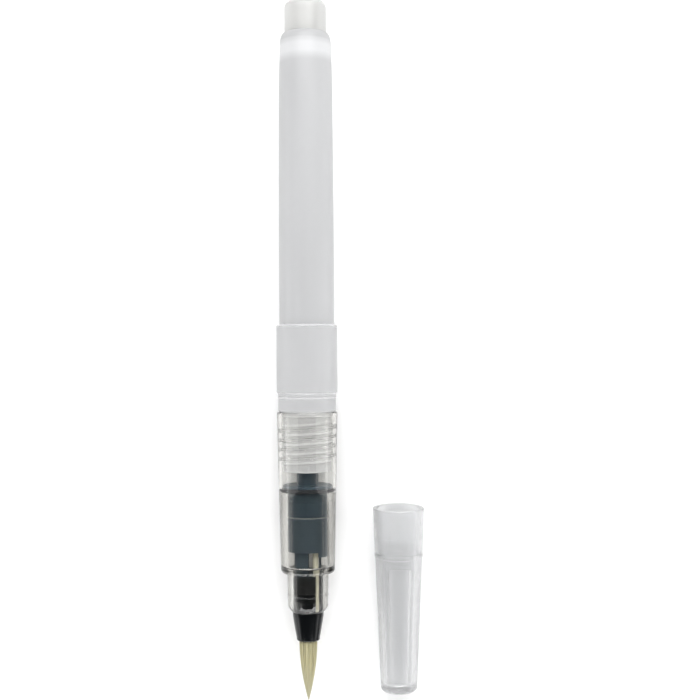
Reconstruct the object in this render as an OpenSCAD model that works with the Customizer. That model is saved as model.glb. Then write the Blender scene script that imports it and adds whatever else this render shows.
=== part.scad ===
// Refillable water brush pen lying on its side, with its cap beside it.
// Units are millimetres. The pen's axis runs along Y: rear end at +Y, bristle tip at -Y.
// +Z is up, and the collar and the cap rest on the plane Z = 0.

/* [Rear plug] */

// length of the knob that stands out of the barrel
knob_len = 7.3; // [5:0.1:10]
// radius of the knob, which the cap also fits over
knob_r = 4.6; // [4.2:0.02:4.62]
// rounding of the knob's end
knob_round = 1.7; // [0.8:0.1:2.4]
// wall of the hollow knob
knob_wall = 1.0; // [0.7:0.1:1.5]
// length of the skirt that is pressed into the barrel
skirt_len = 2.6; // [1.5:0.1:3]

/* [Barrel] */

// length of the squeezable part, from the knob to the collar
barrel_len = 64.1; // [50:0.1:90]
// radius of the straight gripping length of the barrel
barrel_r = 6.0; // [5.4:0.05:6.3]
// how much the barrel narrows towards its rear end, on the radius
barrel_draft = 0.42; // [0.1:0.02:0.8]
// length of the straight gripping length above the collar
grip_len = 24.0; // [10:1:40]
// wall of the squeezable part
barrel_wall = 0.9; // [0.6:0.05:1.2]
// length of the wide collar
collar_len = 15.15; // [10:0.05:20]
// radius of the wide collar
collar_r = 6.69; // [6.5:0.01:7.4]
// rounding of the collar's lips
collar_lip = 0.45; // [0.2:0.05:0.6]
// length of the sleeve between the collar and the clear section
sleeve_len = 3.9; // [3:0.1:6]
// radius of the sleeve
sleeve_r = 6.36; // [6.2:0.01:6.5]

/* [Threaded neck] */

// length of the neck inside the front section
neck_len = 13.15; // [13.15:0.05:15]
// radius at the root of the neck's thread
neck_r = 5.35; // [5.2:0.01:5.4]
// radius of the neck's bore
neck_bore_r = 4.3; // [3.6:0.1:4.5]
// radius at the crest of the neck's thread
thread_r = 5.66; // [5.6:0.01:5.7]
// advance of the thread in one turn
pitch = 2.05; // [1.6:0.05:2.1]
// number of turns on the neck
turns = 5; // [3:0.5:5]
// start of the neck's thread below the sleeve
thread_start = 2.2; // [1.8:0.1:2.6]

/* [Front section] */

// length of the clear section from the sleeve to its shoulder
section_len = 35.45; // [34:0.05:40]
// radius of the section at its rim
section_r = 6.66; // [6.5:0.01:6.68]
// radius of the section at its shoulder
section_end_r = 5.95; // [5.7:0.01:6.1]
// rounding of the shoulder
shoulder_round = 1.0; // [0.5:0.1:1.2]
// bore for the threaded neck
thread_bore_r = 5.8; // [5.76:0.01:5.84]
// inner radius at the crest of the section's thread
thread_crest_r = 5.46; // [5.42:0.01:5.5]
// depth of the ledge that carries the seal ring, below the section's rim
ledge_depth = 17.45; // [17:0.05:18.5]
// bore of the chamber round the feed
chamber_r = 4.5; // [4.4:0.01:4.6]
// length of the nose that the cap fits over
nose_len = 8.5; // [7:0.1:10]
// radius of the nose at the shoulder
nose_r = 4.54; // [4.4:0.01:4.6]
// radius of the nose at its chamfer
nose_end_r = 4.42; // [4.2:0.01:4.5]
// bore of the nose
nose_bore_r = 3.3; // [3.25:0.01:3.4]

/* [Feed] */

// radius of the feed's plug
plug_r = 4.36; // [4.2:0.01:4.4]
// length of the upper half of the plug
upper_len = 6.2; // [5:0.1:8]
// length of the lower half of the plug
lower_len = 7.5; // [6:0.1:9]
// radius of the nipple that points into the neck
nipple_r = 2.4; // [1.5:0.05:2.6]
// length of the nipple
nipple_len = 4.1; // [3:0.1:6]
// radius of the stem under the plug
stem_r = 2.95; // [2.7:0.05:3.1]
// radius of the core inside the nose
core_r = 3.2; // [3.1:0.01:3.22]
// radius of the fibre wick
wick_r = 0.6; // [0.4:0.05:0.7]
// distance of the wick from the pen's axis
wick_offset = 2.45; // [2.2:0.05:2.5]
// angle of the wick round the axis, from the upper side towards the cap
wick_turn = 42; // [0:1:90]
// radius of the cord of the seal ring
ring_cord_r = 0.42; // [0.3:0.01:0.43]

/* [Brush head] */

// visible length of the ferrule
ferrule_len = 6.3; // [5:0.1:8]
// radius of the ferrule at the nose
ferrule_r = 3.42; // [3.35:0.01:3.5]
// radius of the ferrule near its mouth
ferrule_end_r = 2.6; // [2.5:0.01:2.8]
// bore of the ferrule's mouth
mouth_r = 2.15; // [2.1:0.01:2.2]
// length of the bristles in front of the ferrule
tuft_len = 13.3; // [10:0.1:16]
// greatest radius of the bristle tuft
tuft_r = 2.0; // [1.8:0.01:2.02]

/* [Cap] */

// length of the cap
cap_len = 40.8; // [38:0.1:44]
// outer radius of the cap at its mouth
cap_mouth_r = 5.68; // [5.5:0.01:5.8]
// outer radius of the cap at its closed end
cap_end_r = 4.06; // [3.9:0.01:4.4]
// bore of the socket that fits the nose and the knob
socket_r = 4.66; // [4.64:0.01:4.72]
// depth of the socket
socket_len = 9.9; // [9:0.1:11]
// position of the ring step below the mouth
step_pos = 10.8; // [10:0.1:12]
// start of the two flats below the mouth
flat_start = 12.7; // [12:0.1:16]
// distance of a flat from the cap's axis where it starts
flat_near = 4.37; // [4.3:0.01:4.6]
// distance of a flat from the cap's axis at the closed end
flat_far = 3.70; // [3.6:0.01:3.9]
// width of the flats where they start
flat_w = 5.4; // [4:0.1:6]
// distance between the axes of the pen and the lying cap
cap_gap = 20.0; // [16:0.1:30]
// distance of the cap's closed end behind the bristle tip
cap_back = 1.4; // [0:0.1:10]

/* [Hidden] */

$fn = 96;
total = knob_len + barrel_len + collar_len + sleeve_len + section_len + nose_len + ferrule_len + tuft_len;

// stations along the axis, from the rear end to the bristle tip
s_end = total / 2;
s_knob = s_end - knob_len;
s_collar = s_knob - barrel_len;
s_lip = s_collar - collar_len;
s_rim = s_lip - sleeve_len;
s_neck = s_rim - neck_len;
s_ledge = s_rim - 0.1 - ledge_depth;
s_shoulder = s_rim - section_len;
s_nose = s_shoulder - nose_len;
s_mouth = s_nose - ferrule_len;
s_tip = s_mouth - tuft_len;
s_flange = s_ledge + 0.9;
s_joint = s_flange - upper_len;
s_plug_end = s_joint - 0.15 - lower_len;
s_core = s_shoulder + 0.4;
s_shank = s_nose + 4.2;
s_bend = s_mouth - 0.3;

// positions across the axis
total_w = cap_gap + collar_r + cap_mouth_r;
pen_x = -total_w / 2 + collar_r;
cap_x = pen_x + cap_gap;
pen_z = collar_r;

// the lying cap touches the floor at its ring step and at the end of its lower flat
cap_taper = (cap_mouth_r - cap_end_r) / cap_len;
step_r = cap_mouth_r - cap_taper * step_pos;
step_in = 0.07;
cap_lean = atan((step_r - flat_far) / (cap_len - step_pos));
cap_z = step_pos * sin(cap_lean) + step_r * cos(cap_lean);
cap_y = s_tip + cap_back + cap_len * cos(cap_lean);

clear_plastic = [0.88, 0.9, 0.92, 0.45];
frosted = [0.82, 0.83, 0.85, 0.8];
cap_frosted = [0.86, 0.87, 0.88, 0.75];
black = [0.05, 0.06, 0.07];
seal_black = [0.03, 0.03, 0.035];
fibre = [0.85, 0.82, 0.7];
nylon = [0.78, 0.74, 0.6];
fused = [0.7, 0.66, 0.52];

// points of an elliptical arc in the half plane (radius, station)
function bend(cr, cs, rr, rs, a0, a1, n = 8) =
    [for (i = [0:n]) let (a = a0 + (a1 - a0) * i / n) [cr + rr * cos(a), cs + rs * sin(a)]];

// lays a solid built along Z on the pen's axis, rear end towards +Y
module on_pen() {
    translate([pen_x, 0, pen_z])
        rotate([-90, 0, 0])
            children();
}

// a ring or shaft turned from points (radius, station)
module turned(points) {
    rotate_extrude()
        polygon(points);
}

// a right-handed helical ridge between the radii ra and rb, which run from its base to its crest
module ridge(ra, rb, base_w, crest_w, s0, n_turns, steps = 32) {
    n = ceil(n_turns * steps);
    function lift(i) = min(1, min(i, n - i) / (steps / 4));
    function section(i) =
        let (a = 360 * i / steps, z = s0 + pitch * i / steps,
             rc = ra + (rb - ra) * max(0.04, lift(i)))
        [[ra * cos(a), ra * sin(a), z - base_w / 2], [rc * cos(a), rc * sin(a), z - crest_w / 2],
         [rc * cos(a), rc * sin(a), z + crest_w / 2], [ra * cos(a), ra * sin(a), z + base_w / 2]];
    points = [for (i = [0:n]) each section(i)];
    out = rb > ra;
    function side(i, k) =
        let (p = 4 * i + k, q = 4 * i + (k + 1) % 4)
        out ? [[p, q, p + 4], [q, q + 4, p + 4]] : [[p, p + 4, q], [q, p + 4, q + 4]];
    sides = [for (i = [0:n - 1]) for (k = [0:3]) each side(i, k)];
    first = out ? [[0, 2, 1], [0, 3, 2]] : [[0, 1, 2], [0, 2, 3]];
    m = 4 * n;
    last = out ? [[m, m + 1, m + 2], [m, m + 2, m + 3]] : [[m, m + 2, m + 1], [m, m + 3, m + 2]];
    polyhedron(points, concat(sides, first, last));
}

// hollow end knob with a skirt inside the barrel's rear mouth
module rear_plug() {
    inner = knob_r - knob_wall;
    skirt_r = barrel_r - barrel_draft - barrel_wall - 0.28;
    color(frosted)
        on_pen()
            turned(concat(
                [[0, s_end]],
                bend(knob_r - knob_round, s_end - 0.2 - knob_round, knob_round, knob_round, 90, 0),
                [[knob_r, s_knob + 0.02], [skirt_r, s_knob + 0.02], [skirt_r, s_knob - skirt_len + 0.3],
                 [skirt_r - 0.3, s_knob - skirt_len], [inner, s_knob - skirt_len]],
                bend(inner - 1, s_end - knob_wall - 1.3, 1, 1, 0, 90, 5),
                [[0, s_end - knob_wall - 0.25]]));
}

// squeezable tube, collar and threaded neck in one piece
module barrel() {
    mouth_bore = barrel_r - barrel_draft - barrel_wall - 0.24;
    rear_r = barrel_r - barrel_draft;
    shoulder_s = s_knob - 2.4;
    straight_s = s_collar + grip_len;
    span = shoulder_s - straight_s;
    bore = barrel_r - barrel_wall;
    pilot_r = thread_bore_r - 0.1;
    color(frosted)
        on_pen()
            union() {
                turned(concat(
                    [[mouth_bore, s_knob - 0.03]],
                    bend(mouth_bore + 0.08, shoulder_s, rear_r - mouth_bore - 0.08, 2.37, 90, 0),
                    [[barrel_r - barrel_draft * 0.69, straight_s + span * 0.91],
                     [barrel_r - barrel_draft * 0.5, straight_s + span * 0.73],
                     [barrel_r - barrel_draft * 0.26, straight_s + span * 0.43],
                     [barrel_r - barrel_draft * 0.08, straight_s + span * 0.15],
                     [barrel_r, straight_s], [barrel_r, s_collar + 0.12], [barrel_r + 0.12, s_collar]],
                    bend(collar_r - collar_lip, s_collar - collar_lip, collar_lip, collar_lip, 90, 0),
                    bend(collar_r - collar_lip, s_lip + collar_lip, collar_lip, collar_lip, 0, -70),
                    [[sleeve_r, s_lip], [sleeve_r, s_lip - 0.65], [sleeve_r + 0.06, s_lip - 0.75],
                     [sleeve_r + 0.06, s_lip - 0.95], [sleeve_r, s_lip - 1.05], [sleeve_r, s_rim + 0.3],
                     [sleeve_r - 0.2, s_rim], [pilot_r, s_rim], [pilot_r, s_rim - 1.0],
                     [neck_r, s_rim - 1.25], [neck_r, s_neck + 0.35], [neck_r - 0.35, s_neck],
                     [neck_bore_r + 0.2, s_neck], [neck_bore_r, s_neck + 0.2],
                     [neck_bore_r, s_lip + 0.4], [bore, s_lip + 3.2], [bore, straight_s],
                     [bore - barrel_draft, shoulder_s - 0.2], [mouth_bore, shoulder_s - 0.6]]));
                ridge(neck_r - 0.12, thread_r, 1.0, 0.35, s_rim - thread_start - pitch * turns, turns);
            }
}

// clear shell with the inner thread, the chamber round the feed and the nose
module front_section() {
    top = s_rim - 0.1;
    floor_s = s_shoulder + 1.3;
    engaged = turns - 0.7;
    color(clear_plastic)
        on_pen()
            union() {
                turned(concat(
                    [[thread_bore_r + 0.15, top], [section_r - 0.25, top], [section_r, top - 0.25]],
                    bend(section_end_r - shoulder_round, s_shoulder + shoulder_round,
                         shoulder_round, shoulder_round, 0, -90),
                    [[nose_r + 0.12, s_shoulder], [nose_r, s_shoulder - 0.14],
                     [nose_end_r + 0.04, s_shoulder - nose_len * 0.5],
                     [nose_end_r, s_nose + 1.25], [nose_bore_r + 0.32, s_nose + 0.08],
                     [nose_bore_r + 0.22, s_nose], [nose_bore_r + 0.1, s_nose], [nose_bore_r, s_nose + 0.1],
                     [nose_bore_r, floor_s - 0.12], [nose_bore_r + 0.12, floor_s]],
                    bend(chamber_r - 0.6, floor_s + 0.6, 0.6, 0.6, -90, 0, 6),
                    [[chamber_r, s_ledge], [thread_bore_r, s_ledge], [thread_bore_r, top - 0.15]]));
                ridge(thread_bore_r + 0.12, thread_crest_r, 1.0, 0.35,
                      s_rim - thread_start - pitch * (turns - 0.5), engaged);
            }
}

// soft ring on the section's ledge
module seal_ring() {
    color(seal_black)
        on_pen()
            translate([0, 0, s_ledge + ring_cord_r + 0.03])
                rotate_extrude()
                    translate([thread_bore_r - 0.1 - ring_cord_r, 0])
                        circle(ring_cord_r, $fn = 48);
}

// upper half of the plug, with its flange and the nipple that takes the water in
module feed_upper() {
    cup_r = plug_r - 1.06;
    color(black)
        on_pen()
            turned([[0.6, s_flange + 0.5 + nipple_len], [nipple_r - 0.25, s_flange + 0.5 + nipple_len],
                    [nipple_r, s_flange + 0.25 + nipple_len], [nipple_r, s_flange + 0.5],
                    [plug_r + 1.04, s_flange + 0.5], [plug_r + 1.14, s_flange + 0.4],
                    [plug_r + 1.14, s_flange], [plug_r, s_flange],
                    [plug_r, s_flange - 2.75], [plug_r - 0.08, s_flange - 2.83],
                    [plug_r - 0.08, s_flange - 2.93], [plug_r, s_flange - 3.01],
                    [plug_r, s_joint + 0.12], [plug_r - 0.12, s_joint], [cup_r, s_joint],
                    [cup_r, s_flange - 1.2], [0.6, s_flange - 1.2]]);
}

// porous disc that slows the water inside the plug
module regulator() {
    color(fibre)
        on_pen()
            translate([0, 0, s_joint + 2.1])
                cylinder(h = s_flange - 1.25 - s_joint - 2.1, r = plug_r - 1.1);
}

// axis of the wick, as a shift from the pen's axis
module at_wick() {
    rotate([0, 0, wick_turn])
        translate([0, -wick_offset, 0])
            children();
}

// lower half of the plug, with the cut-away stem and the core that carries the ferrule
module feed_lower() {
    spigot_r = core_r - 0.6;
    slot_w = 2 * wick_r + 0.1;
    color(black)
        on_pen()
            union() {
                difference() {
                    turned([[0, s_joint + 2.05], [plug_r - 1.11, s_joint + 2.05],
                            [plug_r - 1.11, s_joint - 0.15], [plug_r - 0.15, s_joint - 0.15],
                            [plug_r, s_joint - 0.3], [plug_r, s_plug_end + 0.1],
                            [plug_r - 0.1, s_plug_end], [stem_r, s_plug_end],
                            [stem_r, s_core + 0.15], [core_r - 0.1, s_core], [core_r, s_core - 0.1],
                            [core_r, s_shank + 0.1], [core_r - 0.1, s_shank],
                            [spigot_r, s_shank], [spigot_r, s_nose + 0.55],
                            [spigot_r - 0.2, s_nose + 0.35], [0, s_nose + 0.35]]);
                    translate([0.2, -6, s_core + 0.15])
                        cube([6, 12, s_plug_end - s_core - 0.15]);
                    at_wick()
                        translate([-slot_w / 2, -4, s_nose])
                            cube([slot_w, 4 + wick_r + 0.05, s_core + 1 - s_nose]);
                    at_wick()
                        translate([0, 0, s_nose])
                            cylinder(h = s_joint - s_nose - 0.5, r = wick_r + 0.03);
                }
                rotate([0, 0, 78])
                    translate([-0.15, -stem_r, s_core - 0.5])
                        cube([0.3, 0.45, s_plug_end - s_core + 1]);
                intersection() {
                    difference() {
                        translate([0, 0, s_plug_end - 1.0])
                            cylinder(h = 1.2, r = plug_r - 0.02);
                        translate([0, 0, s_plug_end - 1.1])
                            cylinder(h = 1.1, r = plug_r - 0.6);
                    }
                    translate([2.2, -5, s_plug_end - 1.5])
                        cube([3, 5, 3]);
                }
            }
}

// fibre rod that leads water through the stem to the bristles
module wick() {
    color(fibre)
        on_pen()
            at_wick()
                translate([0, 0, s_nose + 0.58])
                    cylinder(h = s_joint - 0.55 - s_nose - 0.58, r = wick_r);
}

// conical sleeve: its shank sits in the nose, its mouth holds the bristles
module ferrule() {
    shank_r = core_r - 0.55;
    slot_w = 2 * wick_r + 0.1;
    color(black)
        on_pen()
            difference() {
                turned(concat(
                    [[shank_r, s_shank - 0.05], [core_r - 0.1, s_shank - 0.05], [core_r, s_shank - 0.15],
                     [core_r, s_nose - 0.03], [ferrule_r - 0.12, s_nose - 0.03],
                     [ferrule_r, s_nose - 0.15], [ferrule_r - 0.03, s_nose - 0.9],
                     [ferrule_r - 0.2, s_nose - 2.0], [ferrule_r - 0.42, s_nose - 3.3],
                     [ferrule_end_r + 0.17, s_nose - 4.6], [ferrule_end_r, s_mouth + 0.8]],
                    bend(ferrule_end_r - 0.3, s_mouth + 0.4, 0.26, 0.4, 20, -90, 6),
                    [[mouth_r + 0.08, s_mouth], [mouth_r, s_mouth + 0.1],
                     [mouth_r, s_nose - 0.5], [shank_r, s_nose - 0.5]]));
                at_wick()
                    translate([-slot_w / 2, -4, s_nose + 0.52])
                        cube([slot_w, 4 + wick_r + 0.05, s_shank - s_nose]);
            }
}

// root of the tuft, melted into a button behind the ferrule's mouth
module tuft_root() {
    color(fused)
        on_pen()
            turned([[0, s_nose + 0.3], [core_r - 0.7, s_nose + 0.3], [core_r - 0.6, s_nose + 0.2],
                    [core_r - 0.6, s_nose - 0.46], [mouth_r - 0.04, s_nose - 0.46],
                    [mouth_r - 0.04, s_bend + tuft_r + 0.05], [0, s_bend + tuft_r + 0.05]]);
}

// bristles, pointed at the tip and rounded where they bend out of the ferrule
module bristle_tuft() {
    color(nylon)
        on_pen()
            turned(concat(
                bend(0, s_bend, tuft_r - 0.05, tuft_r - 0.05, 90, 0, 10),
                [[tuft_r, s_mouth - 1.2], [tuft_r * 0.965, s_mouth - 2.3], [tuft_r * 0.87, s_mouth - 4.5],
                 [tuft_r * 0.74, s_mouth - 6.7], [tuft_r * 0.53, s_mouth - 8.9],
                 [tuft_r * 0.27, s_tip + 2.2], [tuft_r * 0.1, s_tip + 0.4], [0, s_tip]]));
}

// a slab that cuts one flat into the cap, with rounded inner corners
module flat_cutter() {
    lean = atan((flat_near - flat_far) / (cap_len - flat_start));
    r = 1.0;
    w = flat_w / 2;
    translate([0, -flat_near, -flat_start])
        rotate([90 + lean, 0, 0])
            linear_extrude(height = 4)
                polygon(concat(bend(w - r, -r, r, r, 0, 90, 6), bend(r - w, -r, r, r, 90, 180, 6),
                               [[-w, -cap_len], [w, -cap_len]]));
}

// closed cone with two flats and a socket that fits both the nose and the rear knob
module cap() {
    bore_r = socket_r;
    cavity_r = 3.7;
    cavity_end_r = 2.8;
    bottom = cap_len - 1.4;
    color(cap_frosted)
        translate([cap_x, cap_y, cap_z])
            rotate([-90 + cap_lean, 0, 0])
                difference() {
                    turned(concat(
                        [[bore_r + 0.3, 0], [cap_mouth_r - 0.2, 0], [cap_mouth_r, -0.2],
                         [step_r, -step_pos], [step_r - step_in, -step_pos - 0.12],
                         [cap_end_r + 0.03, 1.0 - cap_len]],
                        bend(cap_end_r - 0.8, 0.8 - cap_len, 0.8, 0.8, 0, -90, 6),
                        [[1.6, -cap_len], [1.2, 0.15 - cap_len], [0, 0.15 - cap_len], [0, -bottom]],
                        bend(cavity_end_r - 0.8, 0.8 - bottom, 0.8, 0.8, -90, 0, 5),
                        [[cavity_r, -socket_len - 0.5], [cavity_r + 0.2, -socket_len],
                         [bore_r, -socket_len],
                         [bore_r, -7.2], [bore_r - 0.09, -6.9], [bore_r - 0.09, -6.6], [bore_r, -6.3],
                         [bore_r, -0.3]]));
                    for (turn = [0, 180])
                        rotate([0, 0, turn])
                            flat_cutter();
                }
}

rear_plug();
barrel();
front_section();
seal_ring();
feed_upper();
regulator();
feed_lower();
wick();
ferrule();
tuft_root();
bristle_tuft();
cap();
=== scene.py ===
import bpy, bmesh, math, random
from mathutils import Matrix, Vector


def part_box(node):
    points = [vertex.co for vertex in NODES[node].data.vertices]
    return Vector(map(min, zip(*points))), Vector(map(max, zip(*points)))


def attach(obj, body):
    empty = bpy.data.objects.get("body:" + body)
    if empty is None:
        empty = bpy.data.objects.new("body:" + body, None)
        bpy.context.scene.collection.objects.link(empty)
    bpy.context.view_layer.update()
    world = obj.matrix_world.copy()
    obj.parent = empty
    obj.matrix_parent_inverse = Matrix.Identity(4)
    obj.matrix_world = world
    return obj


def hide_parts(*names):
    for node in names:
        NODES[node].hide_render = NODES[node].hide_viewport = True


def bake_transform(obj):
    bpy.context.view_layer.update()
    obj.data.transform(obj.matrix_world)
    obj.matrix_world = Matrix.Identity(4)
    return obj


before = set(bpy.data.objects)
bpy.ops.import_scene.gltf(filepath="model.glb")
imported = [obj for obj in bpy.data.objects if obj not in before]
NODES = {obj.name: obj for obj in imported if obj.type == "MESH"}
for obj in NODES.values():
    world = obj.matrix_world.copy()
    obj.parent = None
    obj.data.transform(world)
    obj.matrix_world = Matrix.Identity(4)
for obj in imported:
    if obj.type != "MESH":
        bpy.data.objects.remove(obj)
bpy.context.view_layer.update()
TAU = 2 * math.pi
MM = 0.001


# ---------------------------------------------------------------- places and sizes, in millimetres
def low(node, axis):
    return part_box(node)[0][axis] / MM


def high(node, axis):
    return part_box(node)[1][axis] / MM


def radius_of(node):
    """Half the width of a round node."""
    return (high(node, 0) - low(node, 0)) / 2


PEN_X = (low("barrel", 0) + high("barrel", 0)) / 2
PEN_Z = (low("barrel", 2) + high("barrel", 2)) / 2

# gaps between pieces that meet: a seated face, and the shell's rim under the barrel's sleeve
SEAT, RIM_GAP = 0.03, 0.1

# stations along the pen's axis, from the rear end to the bristle tip
S_END = high("rear_plug", 1)
S_KNOB = high("barrel", 1) + SEAT
S_SHELL = high("front_section", 1)
S_RIM = S_SHELL + RIM_GAP
S_NECK = low("barrel", 1)
S_NOSE = low("front_section", 1)
S_MOUTH = low("ferrule", 1)
S_TIP = low("bristle_tuft", 1)
SLEEVE_LEN, COLLAR_LEN, GRIP_LEN, NOSE_LEN = 3.9, 15.15, 24.0, 8.5
S_LIP = S_RIM + SLEEVE_LEN
S_COLLAR = S_LIP + COLLAR_LEN
S_STRAIGHT = S_COLLAR + GRIP_LEN
S_LEDGE = low("seal_ring", 1) - SEAT
S_SHOULDER = S_NOSE + NOSE_LEN
S_BEND = S_MOUTH - 0.3

# radii
KNOB_R, KNOB_ROUND, KNOB_WALL = radius_of("rear_plug"), 1.7, 1.0
BARREL_R, DRAFT, WALL = 6.0, 0.42, 0.9
COLLAR_R, SLEEVE_R, LIP = radius_of("barrel"), 6.36, 0.45
REAR_R = BARREL_R - DRAFT
REAR_BORE = REAR_R - WALL - 0.24
SLEEVE_RING = 0.85  # how far under the collar the sleeve's ring lies
NECK_R, THREAD_R, NECK_BORE = 5.35, 5.66, 4.3
SHELL_R, SHELL_END_R = radius_of("front_section"), 5.95
BORE_R, CREST_R, CHAMBER_R = 5.8, 5.6, 4.5
NOSE_R, NOSE_END_R, NOSE_BORE = 4.54, 4.42, 3.3
TUFT_R = radius_of("bristle_tuft")
PITCH, TURNS, THREAD_START = 2.05, 5, 2.2
FINE = 0.07  # longest stretch of an outline that carries a thread
S_THREAD = S_RIM - THREAD_START - PITCH * TURNS


# ---------------------------------------------------------------- mesh helpers
def make_object(name, bm, body, nodes, sharp=35):
    """Turns a bmesh into a piece that rides on body, if one is given, and stands for the CAD nodes."""
    bmesh.ops.recalc_face_normals(bm, faces=bm.faces)
    mesh = bpy.data.meshes.new(name)
    bm.to_mesh(mesh)
    bm.free()
    mesh.shade_smooth()
    mesh.set_sharp_from_angle(angle=math.radians(sharp))
    obj = bpy.data.objects.new(name, mesh)
    bpy.context.scene.collection.objects.link(obj)
    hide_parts(*nodes)
    if body:
        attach(obj, body)
    return obj


def arc(cr, cs, rr, rs, a0, a1, n=12):
    """Points of an elliptical arc in the half plane (radius, station)."""
    steps = [math.radians(a0 + (a1 - a0) * i / n) for i in range(n + 1)]
    return [(cr + rr * math.cos(a), cs + rs * math.sin(a)) for a in steps]


def dense(points, step):
    """The same open outline with no stretch longer than step."""
    out = []
    for (r0, s0), (r1, s1) in zip(points, points[1:]):
        n = max(1, math.ceil(math.hypot(r1 - r0, s1 - s0) / step))
        out += [(r0 + (r1 - r0) * i / n, s0 + (s1 - s0) * i / n) for i in range(n)]
    return out + [points[-1]]


def turned(profile, segments, shape=None, closed=False):
    """A bmesh turned round the pen's axis. shape(r, s, angle) may change a point's radius, and a
    closed profile joins its last ring to its first."""
    bm = bmesh.new()
    rings = []
    for r, s in profile:
        if r < 1e-4:
            rings.append([bm.verts.new((PEN_X * MM, s * MM, PEN_Z * MM))])
            continue
        ring = []
        for i in range(segments):
            a = TAU * i / segments
            rr = shape(r, s, a) if shape else r
            at = ((PEN_X + rr * math.cos(a)) * MM, s * MM, (PEN_Z + rr * math.sin(a)) * MM)
            ring.append(bm.verts.new(at))
        rings.append(ring)
    pairs = list(zip(rings, rings[1:]))
    if closed:
        pairs.append((rings[-1], rings[0]))
    for a, b in pairs:
        n = max(len(a), len(b))
        for i in range(n):
            j = (i + 1) % n
            if len(a) == 1:
                bm.faces.new((a[0], b[i], b[j]))
            elif len(b) == 1:
                bm.faces.new((a[i], b[0], a[j]))
            else:
                bm.faces.new((a[i], b[i], b[j], a[j]))
    return bm


def smooth(t):
    """Eases from 0 to 1."""
    t = min(1.0, max(0.0, t))
    return t * t * (3 - 2 * t)


def thread(s, angle, start, turns, width=0.22):
    """Height, 0 to 1, of a right-handed thread at a station and an angle. width is in turns."""
    turn = (s - start) / PITCH
    lead = -angle / TAU
    at = lead + round(turn - lead)
    if not 0 <= at <= turns:
        return 0.0
    rise = smooth((width - abs(turn - at)) / (width * 0.7))
    return rise * min(1.0, 4 * at, 4 * (turns - at))


# ---------------------------------------------------------------- the pen's turned pieces
def barrel_piece():
    """Squeezable tube, collar, sleeve and threaded neck in one moulding."""
    crown, face, steps = 2.4, 0.08, 28
    shoulder = S_KNOB - crown
    pilot, pilot_len, pilot_slope = BORE_R - 0.1, 1.0, 0.25
    neck_top = S_RIM - pilot_len - pilot_slope
    bore = BARREL_R - WALL
    ring_high, ring_half, foot, tip = 0.06, 0.2, 0.25, 0.3

    def taper(i):
        t = 1 - i / steps
        return (BARREL_R - DRAFT * (0.6 * t + 0.4 * t**9), S_STRAIGHT + (shoulder - S_STRAIGHT) * t)

    outside = [(REAR_BORE, S_KNOB - SEAT)]
    outside += arc(REAR_BORE + face, shoulder, REAR_R - REAR_BORE - face, crown - SEAT, 90, 0, 20)
    outside += [taper(i) for i in range(1, steps + 1)]
    outside += [(BARREL_R, S_COLLAR + 0.12), (BARREL_R + 0.12, S_COLLAR)]
    outside += arc(COLLAR_R - LIP, S_COLLAR - LIP, LIP, LIP, 90, 0)
    outside += arc(COLLAR_R - LIP, S_LIP + LIP, LIP, LIP, 0, -70)
    outside += [(SLEEVE_R, S_LIP), (SLEEVE_R, S_LIP - SLEEVE_RING + ring_half)]
    outside += arc(SLEEVE_R, S_LIP - SLEEVE_RING, ring_high, ring_half, 90, -90, 8)
    outside += [(SLEEVE_R, S_RIM + foot + 0.05)]
    outside += arc(SLEEVE_R - foot, S_RIM + foot, foot, foot, 0, -80, 6)
    outside += [(pilot, S_RIM), (pilot, S_RIM - pilot_len), (NECK_R, neck_top)]
    neck = dense([(NECK_R, neck_top), (NECK_R, S_NECK + tip + 0.05)], FINE)
    end = arc(NECK_R - tip, S_NECK + tip, tip, tip, 0, -90, 6)
    end += [(NECK_BORE + 0.2, S_NECK), (NECK_BORE, S_NECK + 0.2)]
    inside = [(NECK_BORE, S_LIP + 0.4), (bore, S_LIP + 3.2), (bore, S_STRAIGHT)]
    inside += [(bore - DRAFT, shoulder - 0.2), (REAR_BORE, shoulder - 0.6)]
    profile = outside + neck[1:] + end + inside

    def shape(r, s, angle):
        """Raises the neck's thread and the two faint seams of the mould."""
        if abs(r - NECK_R) < 0.01 and S_NECK < s < neck_top + 0.05:
            return r + (THREAD_R - NECK_R) * thread(s, angle, S_THREAD, TURNS)
        if r > REAR_R - 0.02 and s > S_COLLAR:
            seam = abs(math.sin(angle)) < 0.004
            return r + (0.02 if seam else 0.0)
        return r

    bm = turned(profile, 180, shape, closed=True)
    return make_object("squeeze_barrel", bm, "barrel", ["barrel"])


def knob_piece():
    """Hollow end knob with the gate mark in the middle of its end."""
    inner = KNOB_R - KNOB_WALL
    skirt, skirt_len, lead_in = REAR_BORE - 0.04, 2.6, 0.3
    seat = S_KNOB + 0.02
    gate = [(0, 0.02), (0.32, 0.02), (0.38, 0.1), (0.75, 0.16), (1.0, 0.05)]
    profile = [(r, S_END - depth) for r, depth in gate]
    profile += arc(KNOB_R - KNOB_ROUND, S_END - 0.2 - KNOB_ROUND, KNOB_ROUND, KNOB_ROUND, 90, 0, 16)
    profile += [(KNOB_R, seat), (skirt, seat), (skirt, S_KNOB - skirt_len + lead_in)]
    profile += [(skirt - lead_in, S_KNOB - skirt_len), (inner, S_KNOB - skirt_len)]
    profile += arc(inner - 1, S_END - KNOB_WALL - 1.3, 1, 1, 0, 90, 10)
    profile += [(0, S_END - KNOB_WALL - 0.25)]
    return make_object("end_knob", turned(profile, 128), "barrel", ["rear_plug"])


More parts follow.
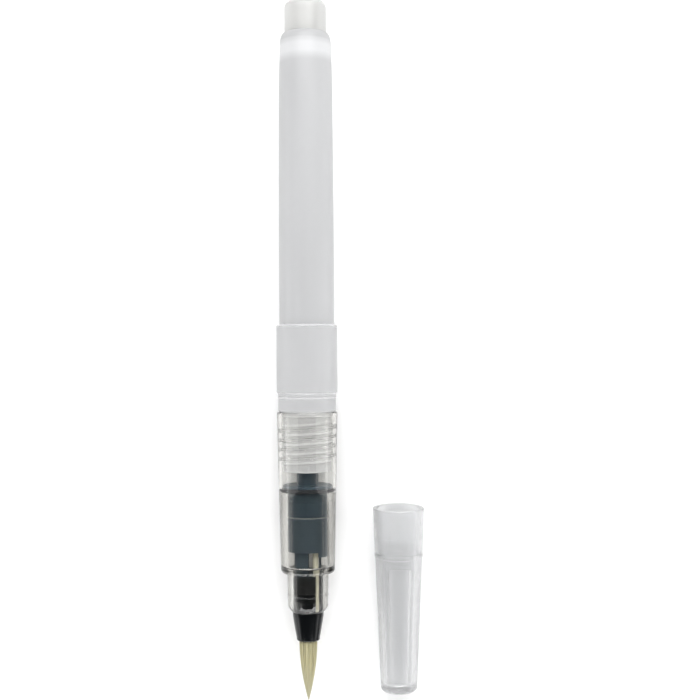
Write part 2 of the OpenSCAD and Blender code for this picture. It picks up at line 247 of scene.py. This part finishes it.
def shell_piece():
    """Clear front section: inner thread, ledge, chamber, shoulder and nose."""
    rim, rounding, fillet, floor_fillet = 0.25, 1.0, 0.12, 0.6
    lead_in, corner = 0.15, 0.05
    ring_back, ring_high, ring_half = 4.85, 0.07, 0.15
    floor = S_SHOULDER + 1.3
    thread_start, thread_turns, thread_width = S_THREAD + PITCH / 2, TURNS - 0.7, 0.16

    outside = [(BORE_R + lead_in, S_SHELL)] + arc(SHELL_R - rim, S_SHELL - rim, rim, rim, 90, 0, 6)
    outside += arc(SHELL_END_R - rounding, S_SHOULDER + rounding, rounding, rounding, 0, -90, 16)
    outside += [(NOSE_R + fillet, S_SHOULDER)]
    outside += arc(NOSE_R + fillet, S_SHOULDER - 0.14, fillet, 0.14, 90, 180, 4)
    outside += [(NOSE_END_R + 0.04, S_SHOULDER - 4.25)]
    outside += arc(NOSE_END_R + 0.03, S_SHOULDER - ring_back, ring_high, ring_half, 90, -90, 8)
    outside += [(NOSE_END_R, S_NOSE + 1.25)]
    outside += [(NOSE_BORE + 0.32, S_NOSE + 0.08), (NOSE_BORE + 0.22, S_NOSE), (NOSE_BORE + 0.1, S_NOSE)]
    inside = [(NOSE_BORE, S_NOSE + 0.1), (NOSE_BORE, floor - 0.12), (NOSE_BORE + 0.12, floor)]
    inside += arc(CHAMBER_R - floor_fillet, floor + floor_fillet, floor_fillet, floor_fillet, -90, 0, 10)
    inside += [(CHAMBER_R, S_LEDGE - corner), (CHAMBER_R + corner, S_LEDGE), (BORE_R, S_LEDGE)]
    bore = dense([(BORE_R, S_LEDGE), (BORE_R, S_SHELL - lead_in)], FINE)
    profile = outside + inside + bore[1:]

    def shape(r, s, angle):
        """Raises the thread inwards from the bore, between the turns of the neck's."""
        if abs(r - BORE_R) < 0.01 and s > S_LEDGE + 0.3:
            crest = thread(s, angle, thread_start, thread_turns, thread_width)
            return r - (BORE_R - CREST_R) * crest
        return r

    bm = turned(profile, 200, shape, closed=True)
    return make_object("clear_shell", bm, "front", ["front_section"])


def seal_piece():
    """Soft ring, pressed flat where it meets the bore."""
    cord = (high("seal_ring", 1) - low("seal_ring", 1)) / 2
    touch, squash = BORE_R + 0.02, 0.09
    ring = arc(touch + squash - cord, S_LEDGE + SEAT + cord, cord, cord, 0, 360, 48)[:-1]
    profile = [(min(r, touch), s) for r, s in ring]
    bm = turned(profile, 160, closed=True)
    return make_object("seal_cord", bm, "seal", ["seal_ring"])


# ---------------------------------------------------------------- the cap
CAP_LEN, CAP_END_R, SOCKET_R, SOCKET_LEN = 40.8, 4.06, 4.66, 9.9
CAP_R = radius_of("cap")
CAP_X = (low("cap", 0) + high("cap", 0)) / 2
CAP_FLOOR, CAP_DISH = 1.4, 0.02
STEP_POS, STEP_IN, BEAD_HIGH, BEAD_HALF = 10.8, 0.07, 0.07, 0.45
FLAT_START, FLAT_NEAR, FLAT_FAR, FLAT_HALF, FLAT_CORNER = 12.7, 4.37, 3.70, 2.7, 1.0
CAP_TAPER = (CAP_R - CAP_END_R) / CAP_LEN
STEP_R = CAP_R - CAP_TAPER * STEP_POS
CAP_LEAN = math.atan((STEP_R - FLAT_FAR) / (CAP_LEN - STEP_POS))
CAP_Z = STEP_POS * math.sin(CAP_LEAN) + STEP_R * math.cos(CAP_LEAN)
CAP_Y = high("cap", 1) - CAP_R * math.sin(CAP_LEAN)


def cap_point(x, y, depth):
    """A point across and along the leaning cap. depth is measured from the mouth."""
    sin, cos = math.sin(CAP_LEAN), math.cos(CAP_LEAN)
    return (
        (CAP_X + x) * MM,
        (CAP_Y + y * sin - depth * cos) * MM,
        (CAP_Z - y * cos - depth * sin) * MM,
    )


def cap_outside():
    """Outer outline of the cap as (radius, depth), from the mouth's rim to the closed end."""
    rim, rounding, dish = 0.2, 0.8, 0.15
    line = [(SOCKET_R + 0.3, 0.0), (CAP_R - rim, 0.0)] + arc(CAP_R - rim, rim, rim, rim, -90, 0, 5)
    line += arc(STEP_R, STEP_POS - BEAD_HALF, BEAD_HIGH, BEAD_HALF, -90, 90, 10)
    line += [(STEP_R - STEP_IN, STEP_POS + 0.12), (CAP_END_R + 0.03, CAP_LEN - 1.0)]
    line += arc(CAP_END_R - rounding, CAP_LEN - rounding, rounding, rounding, 0, 90, 10)
    end = [(1.6, 0.0), (1.2, dish), (0.45, dish), (0.35, CAP_DISH)]
    return line + [(r, CAP_LEN - depth) for r, depth in end]


def cap_inside():
    """Inner outline of the cap, from the closed end back to the mouth."""
    fillet, snap_at, snap_high, snap_half = 0.8, 6.75, 0.09, 0.4
    line = arc(2.0, CAP_LEN - CAP_FLOOR - fillet, fillet, fillet, 90, 0, 8)
    line += [(3.7, SOCKET_LEN + 0.5), (3.9, SOCKET_LEN), (SOCKET_R, SOCKET_LEN), (SOCKET_R, 7.2)]
    line += arc(SOCKET_R, snap_at, snap_high, snap_half, 90, 270, 8)
    return line + [(SOCKET_R, 6.2), (SOCKET_R, 0.3)]


def cap_ring(radius, half, flat=None, n_flat=24, n_round=44):
    """Points (x, y) round the cap: two stretches of half width half, which are cut flat at the height
    flat if it is given, and the cone between them."""
    half = min(half, radius * 0.98)
    if flat and flat < radius:
        half = min(half, math.sqrt(radius**2 - flat**2) + 1e-5)
    side = math.asin(half / radius)
    ring = []
    for way in (1, -1):
        for j in range(n_flat + 1):
            x = half * (2 * j / n_flat - 1)
            y = math.sqrt(max(0.0, radius**2 - x * x))
            ring.append((way * x, way * (min(flat, y) if flat else y)))
        for j in range(n_round + 1):
            a = math.pi / 2 - side - (math.pi - 2 * side) * j / n_round
            ring.append((way * radius * math.cos(a), way * radius * math.sin(a)))
    return ring


def cap_piece():
    """Frosted cone with two flats, a ring step and a socket with a snap bead."""
    narrow = FLAT_HALF - FLAT_CORNER

    def flat_at(depth):
        """Height of the flats above the axis."""
        return FLAT_NEAR + (FLAT_FAR - FLAT_NEAR) * (depth - FLAT_START) / (CAP_LEN - FLAT_START)

    def half_at(depth):
        """Half the width of the flats, which start with round corners."""
        run = depth - FLAT_START
        if run <= 0:
            return narrow
        if run < FLAT_CORNER:
            return narrow + math.sqrt(FLAT_CORNER**2 - (FLAT_CORNER - run) ** 2)
        return FLAT_HALF

    outline = dense(cap_outside(), 0.5)
    cone = next(i for i, (_, d) in enumerate(outline) if d > FLAT_START)
    (r0, d0), (r1, d1) = outline[cone - 1], outline[cone]
    turns = [math.pi / 2 * i / 8 for i in range(9)]
    corner = [FLAT_START + FLAT_CORNER * (1 - math.cos(a)) for a in turns]
    stretch = [(r0 + (r1 - r0) * (d - d0) / (d1 - d0), d, True) for d in corner]
    rings = [(r, d, False) for r, d in outline[:cone]] + [(stretch[0][0], FLAT_START, False)] + stretch
    rings += [(r, d, True) for r, d in outline if d > corner[-1] + 0.05]
    unit = [(x / CAP_R, y / CAP_R) for x, y in cap_ring(CAP_R, narrow)]
    bm = bmesh.new()
    loops = []
    for r, d, cut in rings:
        ring = cap_ring(r, half_at(d), flat_at(d) if cut else None)
        loops.append([bm.verts.new(cap_point(x, y, d)) for x, y in ring])
    end_out = bm.verts.new(cap_point(0, 0, CAP_LEN - CAP_DISH))
    inner = []
    for r, d in dense(cap_inside(), 1.5):
        inner.append([bm.verts.new(cap_point(x * r, y * r, d)) for x, y in unit])
    end_in = bm.verts.new(cap_point(0, 0, CAP_LEN - CAP_FLOOR))
    n = len(unit)

    def strip(a, b):
        for i in range(n):
            j = (i + 1) % n
            bm.faces.new((a[i], b[i], b[j], a[j]))

    for a, b in zip(loops, loops[1:]):
        strip(a, b)
    for a, b in zip(inner, inner[1:]):
        strip(a, b)
    strip(inner[-1], loops[0])
    for i in range(n):
        bm.faces.new((loops[-1][i], end_out, loops[-1][(i + 1) % n]))
        bm.faces.new((inner[0][i], inner[0][(i + 1) % n], end_in))
    bmesh.ops.remove_doubles(bm, verts=bm.verts, dist=0.002 * MM)
    return make_object("cap_shell", bm, "cap", ["cap"], sharp=25)


# ---------------------------------------------------------------- bristles
def tuft_radius(t):
    """Radius of the tuft at t from 0 at the ferrule's mouth to 1 at the point."""
    return TUFT_R * (1 - 0.98 * t * t)


def bristles(count=1000, sides=5, steps=14):
    """Nylon filaments, thick at the root and drawn out to a point, packed into a pointed tuft."""
    golden_angle = 2.399963
    tuft_len = S_MOUTH - S_TIP
    root = S_BEND + TUFT_R * 0.55
    rng = random.Random(7)
    bm = bmesh.new()
    for k in range(count):
        spread = math.sqrt((k + 0.5) / count)
        angle = k * golden_angle + rng.uniform(-0.12, 0.12)
        length = tuft_len * (1 - 0.22 * spread**1.5 * rng.random() - 0.03 * rng.random())
        thick = rng.uniform(0.05, 0.065)
        sway = rng.uniform(-0.10, 0.10)
        rings = []
        for i in range(steps + 1):
            f = i / steps
            s = root + (S_MOUTH - length - root) * f
            t = max(0.0, (S_MOUTH - s) / tuft_len)
            r = tuft_radius(t) * spread * 0.965
            a = angle + sway * t
            w = thick * (1 - 0.82 * smooth((f - 0.35) / 0.65))
            cx, cz = PEN_X + r * math.cos(a), PEN_Z + r * math.sin(a)
            ring = []
            for j in range(sides):
                b = TAU * j / sides + angle
                at = ((cx + w * math.cos(b)) * MM, s * MM, (cz + w * math.sin(b)) * MM)
                ring.append(bm.verts.new(at))
            rings.append(ring)
        for a_ring, b_ring in zip(rings, rings[1:]):
            for j in range(sides):
                m = (j + 1) % sides
                bm.faces.new((a_ring[j], a_ring[m], b_ring[m], b_ring[j]))
        bm.faces.new(rings[0][::-1])
        bm.faces.new(rings[-1])
    obj = make_object("bristles", bm, None, ["bristle_tuft"], sharp=60)
    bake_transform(obj)
    return obj


# ---------------------------------------------------------------- materials
OFF_HIGHLIGHT_SHARE = 0.74  # the barrel's colour away from the highlights painted on its rims and crests, as a share of the colour there
PLASTIC_IOR, ACRYLIC_IOR = 1.5, 1.49


def set_stops(ramp, stops):
    """Fills a colour ramp with (position, grey or colour) stops in rising order."""
    points = ramp.color_ramp.elements
    points.remove(points[-1])
    for i, (at, value) in enumerate(stops):
        point = points[0] if i == 0 else points.new(at)
        point.position = at
        point.color = (value, value, value, 1) if isinstance(value, float) else (*value, 1)


class Mat:
    """A material under construction: add() makes a node, join() links two sockets."""

    def __init__(self, name):
        self.material = bpy.data.materials.new(name)
        self.material.use_nodes = True
        self.tree = self.material.node_tree
        self.tree.nodes.clear()
        self.output = self.add("OutputMaterial")

    def add(self, kind):
        return self.tree.nodes.new("ShaderNode" + kind)

    def join(self, a, b):
        self.tree.links.new(a, b)

    def noise(self, scale, stretch=(1, 1, 1), detail=3, rough=0.5):
        """Noise over the object, in cycles per metre, drawn out along an axis by stretch."""
        coords, mapping, noise = self.add("TexCoord"), self.add("Mapping"), self.add("TexNoise")
        mapping.inputs["Scale"].default_value = stretch
        noise.inputs["Scale"].default_value = scale
        noise.inputs["Detail"].default_value = detail
        noise.inputs["Roughness"].default_value = rough
        self.join(coords.outputs["Object"], mapping.inputs["Vector"])
        self.join(mapping.outputs["Vector"], noise.inputs["Vector"])
        return noise.outputs["Fac"]

    def ramp(self, factor, stops):
        """Maps a factor to grey levels or colours."""
        ramp = self.add("ValToRGB")
        set_stops(ramp, stops)
        self.join(factor, ramp.inputs["Fac"])
        return ramp.outputs["Color"]

    def bump(self, height, strength, distance):
        bump = self.add("Bump")
        bump.inputs["Strength"].default_value = strength
        bump.inputs["Distance"].default_value = distance
        self.join(height, bump.inputs["Height"])
        return bump.outputs["Normal"]

    def principled(self, transmission=0.0, ior=PLASTIC_IOR, specular=0.5):
        shader = self.add("BsdfPrincipled")
        shader.inputs["IOR"].default_value = ior
        shader.inputs["Transmission Weight"].default_value = transmission
        shader.inputs["Specular IOR Level"].default_value = specular
        self.join(shader.outputs[0], self.output.inputs["Surface"])
        return shader


def shade(colour, factor):
    """The same colour, lighter or darker."""
    return tuple(min(1.0, c * factor) for c in colour)


def along(m, start, end):
    """The place along the pen as 0 at one station and 1 at the other."""
    coords, split, span = m.add("TexCoord"), m.add("SeparateXYZ"), m.add("MapRange")
    m.join(coords.outputs["Object"], split.inputs[0])
    span.inputs["From Min"].default_value = start * MM
    span.inputs["From Max"].default_value = end * MM
    m.join(split.outputs["Y"], span.inputs["Value"])
    return span.outputs["Result"]


def blended(m, kind, a, b):
    """Two grey levels or colours put together by a blend such as MULTIPLY or LIGHTEN."""
    mix = m.add("MixRGB")
    mix.blend_type = kind
    mix.inputs["Fac"].default_value = 1.0
    m.join(a, mix.inputs[1])
    m.join(b, mix.inputs[2])
    return mix.outputs[0]


def let_lamps_through(m, shader, share):
    """Lets a share of the lamps' light through, so that what is behind is lit."""
    path, part = m.add("LightPath"), m.add("Math")
    mix, open_ = m.add("MixShader"), m.add("BsdfTransparent")
    part.operation = "MULTIPLY"
    part.inputs[1].default_value = share
    m.join(path.outputs["Is Shadow Ray"], part.inputs[0])
    m.join(part.outputs[0], mix.inputs[0])
    m.join(shader.outputs[0], mix.inputs[1])
    m.join(open_.outputs[0], mix.inputs[2])
    m.join(mix.outputs[0], m.output.inputs["Surface"])


def painted_rim_highlights(m, stations, reach):
    """A grey that is white on the rims at these stations, a painted highlight, and darker between them.
    """
    rear, tip = stations[0] + 1.0, stations[-1] - 1.0
    width = reach / (rear - tip)
    stops = []
    for s in stations:
        at = (rear - s) / (rear - tip)
        stops += [(at - width, OFF_HIGHLIGHT_SHARE), (at, 1.0), (at + width, OFF_HIGHLIGHT_SHARE)]
    return m.ramp(along(m, rear, tip), stops)


def painted_crest_highlights(m):
    """A grey that is white on the crest of the neck's thread, a painted highlight, and darker elsewhere.
    """
    coords, centred = m.add("TexCoord"), m.add("VectorMath")
    flat, length = m.add("VectorMath"), m.add("VectorMath")
    centred.operation, flat.operation, length.operation = "SUBTRACT", "MULTIPLY", "LENGTH"
    centred.inputs[1].default_value = (PEN_X * MM, 0, PEN_Z * MM)
    flat.inputs[1].default_value = (1, 0, 1)
    m.join(coords.outputs["Object"], centred.inputs[0])
    m.join(centred.outputs[0], flat.inputs[0])
    m.join(flat.outputs[0], length.inputs[0])
    span = m.add("MapRange")
    span.inputs["From Min"].default_value = NECK_R * MM
    span.inputs["From Max"].default_value = (2 * THREAD_R - NECK_R) * MM
    m.join(length.outputs["Value"], span.inputs["Value"])
    stops = [(0.0, OFF_HIGHLIGHT_SHARE), (0.3, OFF_HIGHLIGHT_SHARE), (0.42, 1.0), (0.52, 1.0), (0.6, OFF_HIGHLIGHT_SHARE)]
    return m.ramp(span.outputs["Result"], stops)


def darken_with_depth(m, stain_and_shade, density):
    """Takes light off along the way through the plastic, most in the long way round a wall."""
    depth = m.add("VolumeAbsorption")
    depth.inputs["Color"].default_value = (*stain_and_shade, 1)
    depth.inputs["Density"].default_value = density
    m.join(depth.outputs[0], m.output.inputs["Volume"])


def frosted(name, tint, transmission, rough, polish=(), highlight_rims=(), density=0):
    """Milky moulded plastic with an etched grain and flow marks. polish holds bands rubbed smooth, as
    (start, end, share of the roughness) from the rear to the tip. highlight_rims holds the stations of
    rims that get a painted highlight, and the crests of the neck's thread get one with them. density
    darkens thick plastic."""
    m = Mat(name)
    flow = m.noise(380, (1, 0.1, 1), 4, 0.6)
    patches = m.noise(90, (1, 0.35, 1), 3, 0.5)
    grain = m.noise(8000, (1, 1, 1), 2, 0.6)
    shader = m.principled(transmission)
    colour = m.ramp(patches, [(0.3, shade(tint, 0.975)), (0.7, shade(tint, 1.02))])
    if highlight_rims:
        # painted highlights: the rims and the crests of the neck's thread are made whiter in the base
        # colour
        painted_highlight = blended(m, "LIGHTEN", painted_rim_highlights(m, highlight_rims, 0.22), painted_crest_highlights(m))
        colour = blended(m, "MULTIPLY", colour, painted_highlight)
    m.join(colour, shader.inputs["Base Color"])
    roughness = m.ramp(flow, [(0.3, rough - 0.03), (0.7, rough + 0.04)])
    if polish:
        rear, tip = polish[0][0] + 1.0, polish[-1][1] - 1.0
        stops = []
        for start, end, share in polish:
            a, b = (start - rear) / (tip - rear), (end - rear) / (tip - rear)
            edge = min(0.004, (b - a) / 4)
            stops += [(a, 1.0), (a + edge, share), (b - edge, share), (b, 1.0)]
        roughness = blended(m, "MULTIPLY", roughness, m.ramp(along(m, rear, tip), stops))
    m.join(roughness, shader.inputs["Roughness"])
    m.join(m.bump(grain, 0.25, 0.00003), shader.inputs["Normal"])
    if density:
        darken_with_depth(m, (0.5, 0.505, 0.51), density)
    let_lamps_through(m, shader, 0.5)
    return m.material


def clear(name, tint, stain_and_shade, density):
    """Polished clear plastic with faint flow marks and handling smears."""
    m = Mat(name)
    smear = m.noise(260, (1, 0.2, 1), 4, 0.6)
    wave = m.noise(150, (1, 0.15, 1), 2, 0.5)
    shader = m.principled(1.0, ACRYLIC_IOR)
    shader.inputs["Base Color"].default_value = (*tint, 1)
    m.join(m.ramp(smear, [(0.35, 0.015), (0.7, 0.06)]), shader.inputs["Roughness"])
    m.join(m.bump(wave, 0.2, 0.00004), shader.inputs["Normal"])
    darken_with_depth(m, stain_and_shade, density)
    let_lamps_through(m, shader, 0.85)
    return m.material


def opaque(m, rough, spread, specular):
    """Opaque plastic or rubber with flow marks and a fine grain, and its flow marks for the colour."""
    flow = m.noise(500, (1, 0.15, 1), 4, 0.6)
    grain = m.noise(11000, (1, 1, 1), 2, 0.5)
    shader = m.principled(0.0, PLASTIC_IOR, specular)
    m.join(m.ramp(flow, [(0.3, rough - spread), (0.7, rough + spread)]), shader.inputs["Roughness"])
    m.join(m.bump(grain, 0.2, 0.00002), shader.inputs["Normal"])
    return shader, flow


def moulded(name, colour, rough, spread=0.08, specular=0.5):
    """Opaque moulding whose colour is a little lighter along the flow marks."""
    m = Mat(name)
    shader, flow = opaque(m, rough, spread, specular)
    stops = [(0.3, colour), (0.75, shade(colour, 1.35))]
    m.join(m.ramp(flow, stops), shader.inputs["Base Color"])
    return m.material


def shaded_towards_nose(name, colour, dark, rough):
    """Moulding with a pale line at its top, a painted highlight on the joint, and painted shade that
    darkens it towards the nose.
    """
    m = Mat(name)
    joint_highlight, shade_len = (0.55, 0.57, 0.57), 2.5
    top, bottom = low("feed_upper", 1), S_SHOULDER - 1.0
    stain_and_shade = 1 - shade_len / (top - bottom)
    shader, _ = opaque(m, rough, 0.08, 0.3)
    # painted highlight as a pale line at the joint, then painted shade that turns the colour darker
    # towards the nose
    stops = [(0.012, joint_highlight), (0.02, colour), (stain_and_shade, colour), (1.0, dark)]
    m.join(m.ramp(along(m, top, bottom), stops), shader.inputs["Base Color"])
    return m.material


def fibre(name, colour):
    """Bonded fibres that run along the pen."""
    m = Mat(name)
    strands = m.noise(5200, (1, 0.03, 1), 3, 0.6)
    shader = m.principled()
    m.join(m.ramp(strands, [(0.3, shade(colour, 0.72)), (0.7, colour)]), shader.inputs["Base Color"])
    m.join(m.ramp(strands, [(0.3, 0.95), (0.7, 0.75)]), shader.inputs["Roughness"])
    m.join(m.bump(strands, 0.6, 0.0001), shader.inputs["Normal"])
    return m.material


def nylon(name, root, tip):
    """Cream filament, a little darker at the root, with a silky sheen."""
    m = Mat(name)
    strands = m.noise(6500, (1, 0.04, 1), 2, 0.5)
    tone = m.ramp(along(m, S_MOUTH, S_TIP), [(0.0, root), (0.35, shade(root, 1.12)), (1.0, tip)])
    colour = blended(m, "MULTIPLY", tone, m.ramp(strands, [(0.3, 0.9), (0.7, 1.0)]))
    shader = m.principled(specular=0.35)
    shader.inputs["Subsurface Weight"].default_value = 0.25
    shader.inputs["Subsurface Radius"].default_value = (0.0006, 0.0005, 0.0003)
    m.join(colour, shader.inputs["Base Color"])
    m.join(m.ramp(strands, [(0.3, 0.5), (0.7, 0.38)]), shader.inputs["Roughness"])
    return m.material


def set_material(obj, material):
    obj.data.materials.clear()
    obj.data.materials.append(material)


# places on the barrel that are smoother than the rest: its lips, its ring, its foot and its neck
BARREL_POLISH = [
    (S_COLLAR + 0.3, S_COLLAR - 0.55, 0.3),
    (S_LIP + 0.5, S_LIP, 0.3),
    (S_LIP - SLEEVE_RING + 0.25, S_LIP - SLEEVE_RING - 0.25, 0.3),
    (S_RIM + 0.3, S_RIM, 0.3),
    (S_RIM - 0.9, S_NECK - 0.1, 0.25),
]
# stations of the rims that get a painted highlight in the barrel's colour
BARREL_HIGHLIGHT_RIMS = [S_COLLAR - 0.12, S_LIP + 0.12, S_LIP - SLEEVE_RING, S_RIM + 0.1, S_NECK + 0.15]
BARREL_TINT = (0.575 / OFF_HIGHLIGHT_SHARE, 0.578 / OFF_HIGHLIGHT_SHARE, 0.585 / OFF_HIGHLIGHT_SHARE)
BARREL_LOOK = frosted("frosted_barrel_look", BARREL_TINT, 0.45, 0.42, BARREL_POLISH, BARREL_HIGHLIGHT_RIMS)
KNOB_LOOK = frosted("frosted_knob_look", (0.69, 0.69, 0.68), 0.6, 0.3)
CAP_LOOK = frosted("frosted_cap_look", (0.80, 0.805, 0.81), 0.8, 0.18, density=100)
CLEAR_LOOK = clear("clear_shell_look", (0.95, 0.95, 0.935), (0.5, 0.49, 0.46), 320)
SEAL_LOOK = moulded("seal_look", (0.010, 0.011, 0.013), 0.35)
FEED_LOOK = moulded("feed_look", (0.024, 0.040, 0.053), 0.4)
# the stem's colour holds a painted highlight at its joint and painted shade towards the nose
STEM_LOOK = shaded_towards_nose("stem_look", (0.042, 0.060, 0.075), (0.001, 0.0014, 0.0016), 0.55)
FERRULE_LOOK = moulded("ferrule_look", (0.002, 0.0025, 0.003), 0.16, 0.05, specular=0.3)
FIBRE_LOOK = fibre("fibre_look", (0.60, 0.58, 0.46))
FUSED_LOOK = moulded("fused_nylon_look", (0.45, 0.40, 0.26), 0.4)
NYLON_LOOK = nylon("nylon_look", (0.44, 0.41, 0.255), (0.59, 0.565, 0.40))

for piece, look in (
    (barrel_piece(), BARREL_LOOK),
    (knob_piece(), KNOB_LOOK),
    (shell_piece(), CLEAR_LOOK),
    (seal_piece(), SEAL_LOOK),
    (cap_piece(), CAP_LOOK),
    (bristles(), NYLON_LOOK),
):
    set_material(piece, look)
for name, look in (
    ("feed_upper", FEED_LOOK),
    ("feed_lower", STEM_LOOK),
    ("ferrule", FERRULE_LOOK),
    ("wick", FIBRE_LOOK),
    ("regulator", FIBRE_LOOK),
    ("tuft_root", FUSED_LOOK),
):
    set_material(NODES[name], look)
    NODES[name].data.shade_smooth()
    NODES[name].data.set_sharp_from_angle(angle=math.radians(30))


# ---------------------------------------------------------------- floor, light, camera
def floor_plane(half=0.6):
    """A plain pale floor, in metres, small enough to have no far horizon."""
    corners = [(-half, -half, 0), (half, -half, 0), (half, half, 0), (-half, half, 0)]
    mesh = bpy.data.meshes.new("floor")
    mesh.from_pydata(corners, [], [(0, 1, 2, 3)])
    floor = bpy.data.objects.new("floor", mesh)
    bpy.context.scene.collection.objects.link(floor)
    m = Mat("floor_look")
    shader = m.principled()
    shader.inputs["Base Color"].default_value = (0.94, 0.94, 0.94, 1)
    shader.inputs["Roughness"].default_value = 0.9
    set_material(floor, m.material)


def softbox(name, place, size, power):
    """A soft area light that faces the part. place and size are in metres, power in watts."""
    light = bpy.data.lights.new(name, "AREA")
    light.shape = "RECTANGLE"
    light.size, light.size_y = size
    light.energy = power
    obj = bpy.data.objects.new(name, light)
    obj.location = place
    obj.rotation_euler = (-Vector(place)).to_track_quat("-Z", "Y").to_euler()
    bpy.context.scene.collection.objects.link(obj)


def studio_world():
    """White walls with a dark ceiling, where the camera hangs."""
    world = bpy.data.worlds.new("studio")
    bpy.context.scene.world = world
    world.use_nodes = True
    tree = world.node_tree
    kinds = ("TexCoord", "SeparateXYZ", "ValToRGB")
    coords, split, ramp = (tree.nodes.new("ShaderNode" + kind) for kind in kinds)
    set_stops(ramp, ((0.08, 2.4), (0.2, 0.8), (0.42, 0.1), (1.0, 0.05)))
    tree.links.new(coords.outputs["Generated"], split.inputs[0])
    tree.links.new(split.outputs["Z"], ramp.inputs["Fac"])
    tree.links.new(ramp.outputs["Color"], tree.nodes["Background"].inputs["Color"])


floor_plane()
studio_world()
softbox("rear_box", (0.02, 0.45, 0.6), (0.9, 0.2), 7.0)
softbox("front_box", (0.02, -0.76, 0.4), (1.2, 0.4), 7.7)
softbox("left_box", (-0.6, 0.0, 0.22), (0.2, 0.9), 0.8)
softbox("right_box", (0.6, 0.0, 0.24), (0.2, 0.9), 0.9)

# the camera looks straight down, with the pen's axis upright in the picture
LENS_HEIGHT, LENS, SENSOR, ROLL = 0.264, 61.7, 36, -0.0052
camera_data = bpy.data.cameras.new("camera")
camera_data.sensor_width = SENSOR
camera_data.lens = LENS
camera_data.clip_start = 0.01
camera = bpy.data.objects.new("camera", camera_data)
camera.location = (0.0, 0.0, PEN_Z * MM + LENS_HEIGHT)
camera.rotation_euler = (0, 0, ROLL)
bpy.context.scene.collection.objects.link(camera)
bpy.context.scene.camera = camera
bpy.context.scene.view_settings.view_transform = "Standard"
